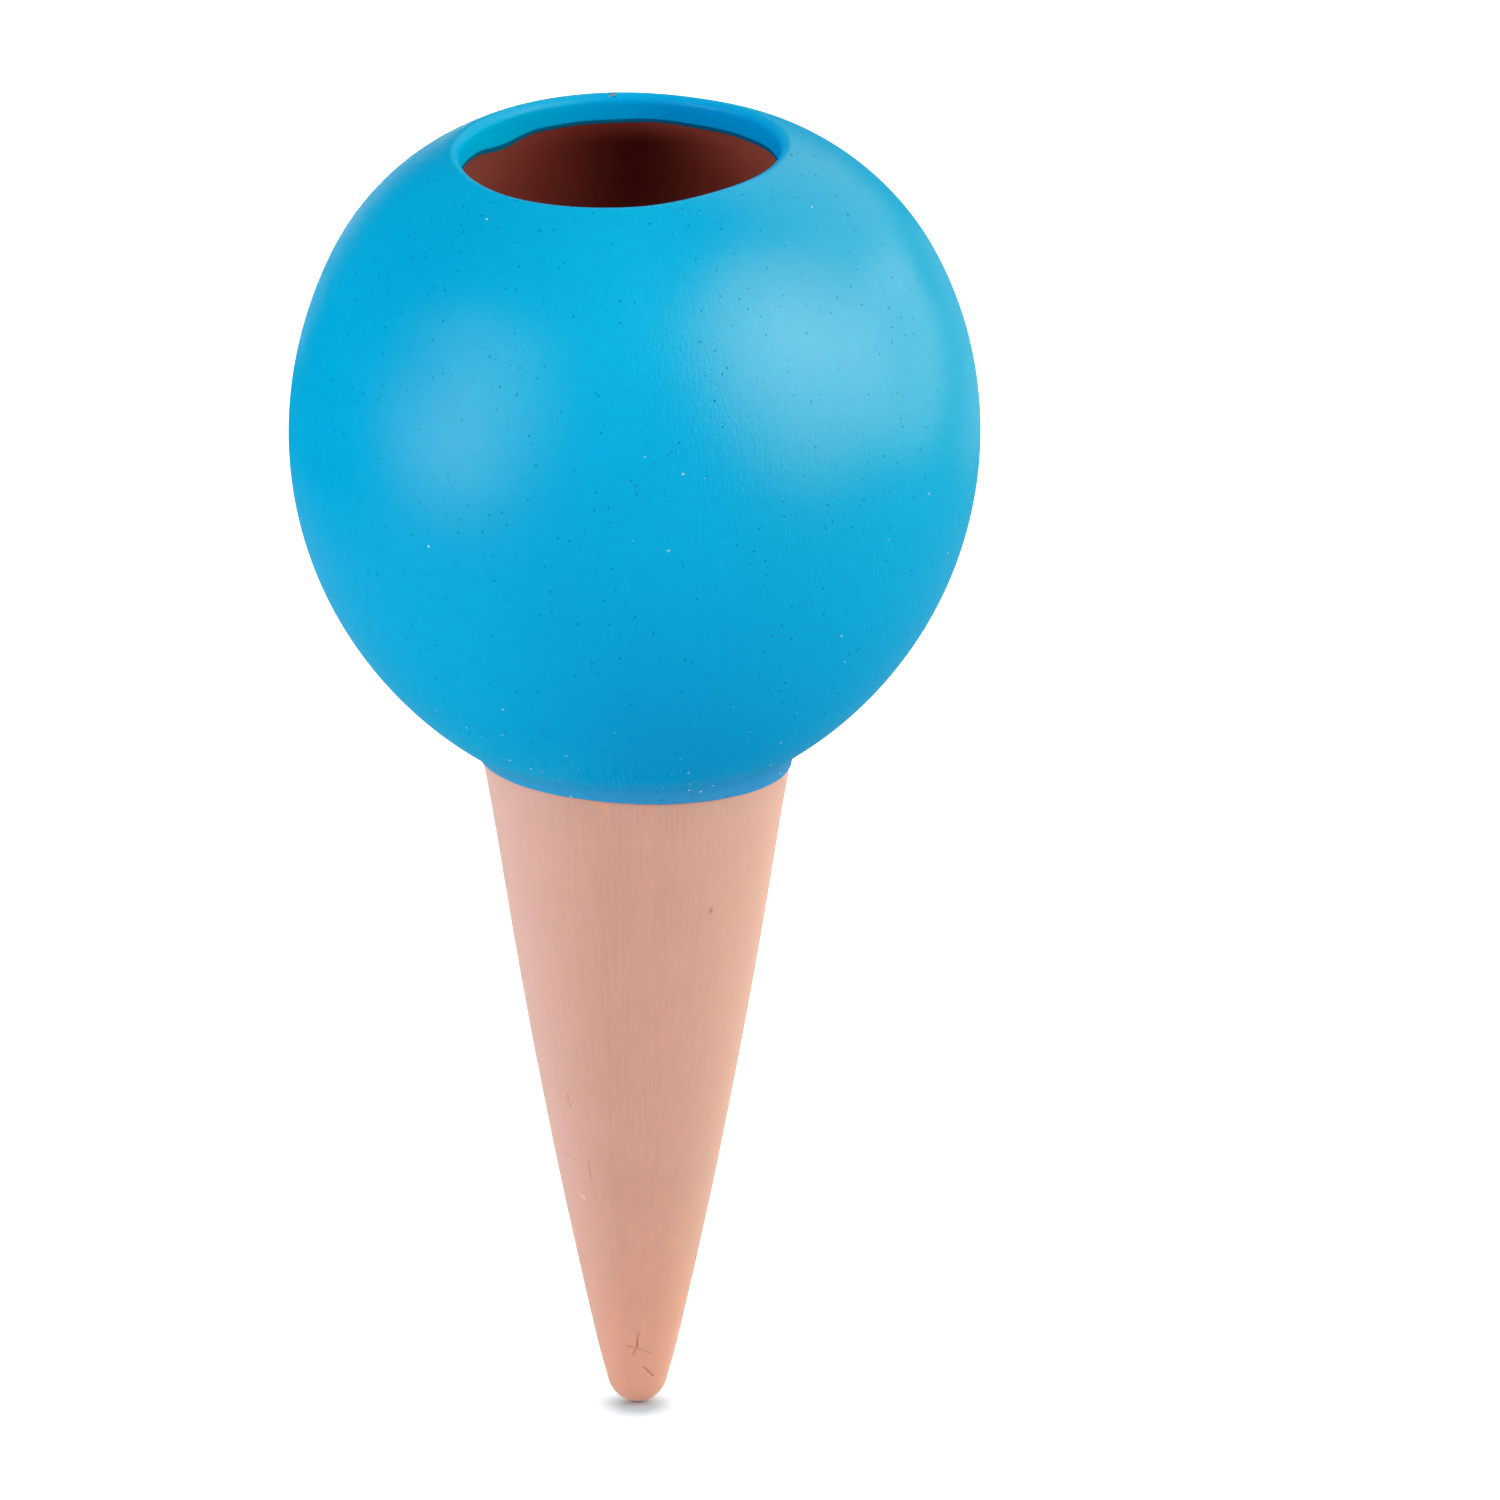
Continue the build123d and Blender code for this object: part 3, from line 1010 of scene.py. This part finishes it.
def slip_clay():
    """Clay of the joint at the neck, which the paint covers."""
    clay, colour = fired_clay("clay_slip", SLIP_PALE, SLIP_DEEP, {"Specular IOR Level": 0.15})
    clay.feed(clay.shader.inputs["Base Color"], colour)
    return clay.material


def dress_slip_joint():
    """The CAD solid of the joint stays and gets its clay."""
    mesh = frame["nodes"]["slip_joint"].data
    mesh.materials.clear()
    mesh.materials.append(slip_clay())


# Stage, with lengths in metres

FILL = 0.665  # the world's light on the object
FLOOR_GREY = rgb(0.82, 0.82, 0.82)  # colour of the floor for the light that it throws on the object
FLOOR_PALE = rgb(0.66, 0.78, 0.84)  # colour of the floor where it shows, under its glow
BLACK = rgb(0.0, 0.0, 0.0)
WHITE = rgb(1.0, 1.0, 1.0)
FLOOR_REACH = 4.0
FLOOR_GAP = 0.0001
SHADOW_CENTRE = (0.0003, -0.0024, 0.0)  # the floor shows its shadow here and glows white further out
GLOW_START = 0.002
GLOW_END = 0.0097
SHADE_START = 0.06  # painted shade on the floor under the globe, seen only in the paint's reflections
SHADE_END = 0.26


def seen_directly(tree):
    """1 for rays that show the backdrop itself: camera, glossy and transmission rays."""
    path = tree.nodes.new("ShaderNodeLightPath")
    total = path.outputs["Is Camera Ray"]
    for name in ("Is Glossy Ray", "Is Transmission Ray"):
        either = tree.nodes.new("ShaderNodeMath")
        either.operation = "MAXIMUM"
        tree.links.new(total, either.inputs[0])
        tree.links.new(path.outputs[name], either.inputs[1])
        total = either.outputs[0]
    return total


def light_world():
    """A white world that shows at strength 1 and lights the object with less."""
    world = bpy.data.worlds.new("studio")
    bpy.context.scene.world = world
    world.use_nodes = True
    tree = world.node_tree
    strength = tree.nodes.new("ShaderNodeMapRange")
    strength.inputs["To Min"].default_value = FILL
    strength.inputs["To Max"].default_value = 1.0
    tree.links.new(seen_directly(tree), strength.inputs["Value"])
    background = tree.nodes["Background"]
    background.inputs["Color"].default_value = WHITE
    tree.links.new(strength.outputs["Result"], background.inputs["Strength"])


def floor_material():
    """Pale floor that shows white and keeps the shadow at the tip; in reflections it shows only its glow,
    with painted shade under the globe.
    """
    floor = Finish("pale_floor", {"Roughness": 1.0, "Specular IOR Level": 0.0, "Emission Color": WHITE})
    seen = seen_directly(floor.tree)
    mirrored = floor.add("LightPath", {}).outputs["Is Glossy Ray"]
    colour = floor.mix(mirrored, floor.mix(seen, FLOOR_GREY, FLOOR_PALE), BLACK)
    floor.feed(floor.shader.inputs["Base Color"], colour)
    away = floor.vector("DISTANCE", floor.place, SHADOW_CENTRE)
    lit = floor.most(floor.ramp(away, SHADE_START, SHADE_END), floor.rest(mirrored))
    glow = floor.math("MINIMUM", floor.ramp(away, GLOW_START, GLOW_END), lit)
    floor.feed(floor.shader.inputs["Emission Strength"], floor.times(glow, seen))
    return floor.material


def make_floor():
    """A large floor just under the tip."""
    near = -FLOOR_REACH
    far = FLOOR_REACH
    corners = [(near, near, 0.0), (far, near, 0.0), (far, far, 0.0), (near, far, 0.0)]
    mesh = bpy.data.meshes.new("floor")
    mesh.from_pydata(corners, [], [(0, 1, 2, 3)])
    mesh.materials.append(floor_material())
    floor = bpy.data.objects.new("floor", mesh)
    floor.location.z = floor_z * MM - FLOOR_GAP
    bpy.context.scene.collection.objects.link(floor)


def aim(thing, target):
    """Turns a lamp or camera towards a point."""
    thing.rotation_euler = (target - thing.location).to_track_quat("-Z", "Y").to_euler()


PANEL_TINT = (1.0, 0.88, 0.6)
HIGHLIGHT_TINT = (1.0, 0.58, 0.29)
GLOBE_CENTRE = Vector((0.0, 0.0, globe_z * MM))


def make_lamp(name, place, size, energy, tint):
    """A lamp that faces the globe from that place, given from the globe's centre."""
    light = bpy.data.lights.new(name, "AREA")
    light.shape = "ELLIPSE"
    light.size, light.size_y = size
    light.energy = energy
    light.color = tint
    lamp = bpy.data.objects.new(name, light)
    lamp.location = GLOBE_CENTRE + Vector(place)
    aim(lamp, GLOBE_CENTRE)
    bpy.context.scene.collection.objects.link(lamp)
    return lamp


def soft_box(name, place, size, level):
    """A lamp that lights matt surfaces: square on, a colour shows at that level of itself."""
    energy = level * (pi * Vector(place).length) ** 2
    lamp = make_lamp(name, place, (size, size), energy, WHITE[:3])
    lamp.visible_glossy = False


def shine(name, place, size, brightness, tint=PANEL_TINT):
    """A lamp that shows only as a reflection, that many times as bright as white."""
    lamp = make_lamp(name, place, size, brightness * pi * pi / 4 * size[0] * size[1], tint)
    lamp.visible_diffuse = False
    return lamp


def highlight(name, place, angle, brightness):
    """A round reflection of that width in degrees, brightest in its middle and fading out evenly."""
    half = radians(angle) / 2
    size = 2 * Vector(place).length * tan(half)
    # A narrow spread gathers a lamp's energy in its middle, so the energy is lowered by as much.
    lamp = shine(name, place, (size, size), brightness * (1 - half / tan(half)), HIGHLIGHT_TINT)
    lamp.data.spread = 2 * half


def make_lamps():
    """Two soft boxes, and what the paint mirrors: panels and strips further back, and two highlights."""
    soft_box("left_box", place=(-0.75, -0.45, 0.2), size=0.4, level=0.28)
    soft_box("right_box", place=(0.749, -0.335, 0.37), size=0.4, level=0.28)
    shine("right_panel", place=(0.84, 0.28, 0.15), size=(0.9, 0.6), brightness=18.0)
    shine("back_panel", place=(0.42, 0.6, 0.5), size=(1.0, 0.8), brightness=9.5)
    shine("left_back_strip", place=(-0.13, 0.5, -0.04), size=(0.24, 0.18), brightness=17.0)
    shine("right_back_strip", place=(0.24, 0.38, -0.1), size=(0.3, 0.24), brightness=3.0)
    highlight("left_highlight", place=(-0.35, -0.178, 0.107), angle=66.0, brightness=56.0)
    highlight("right_highlight", place=(0.718, -0.278, 0.455), angle=82.0, brightness=81.0)


# The photo's view: how high the camera stands, how wide the frame is, and the middle of the globe's
# widest line in the frame of 1500 pixels
ELEVATION = radians(18.3)
FRAME_WIDTH = 0.20593
DISTANCE = 5.86
FRAME_PIXELS = 1500
GLOBE_PIXEL = (634.6, 430.5)
SENSOR_WIDTH = 36.0
CLIP_END = 100.0


def make_camera():
    """The photo's camera, far off with a long lens."""
    pixel = FRAME_WIDTH / FRAME_PIXELS
    right = Vector((1.0, 0.0, 0.0))
    up = Vector((0.0, sin(ELEVATION), cos(ELEVATION)))
    back = Vector((0.0, -cos(ELEVATION), sin(ELEVATION)))
    middle = FRAME_PIXELS / 2
    across = right * (middle - GLOBE_PIXEL[0]) * pixel
    rise = up * (GLOBE_PIXEL[1] - middle) * pixel
    target = GLOBE_CENTRE + across + rise
    data = bpy.data.cameras.new("camera")
    data.sensor_width = SENSOR_WIDTH
    data.lens = SENSOR_WIDTH * DISTANCE / FRAME_WIDTH
    data.clip_end = CLIP_END
    camera = bpy.data.objects.new("camera", data)
    camera.location = target + back * DISTANCE
    aim(camera, target)
    bpy.context.scene.collection.objects.link(camera)
    bpy.context.scene.camera = camera


paint_skin(blue_paint())
clay_globe(globe_clay())
clay_spike(spike_clay())
dress_slip_joint()

light_world()
make_floor()
make_lamps()
make_camera()
bpy.context.scene.view_settings.view_transform = "Standard"
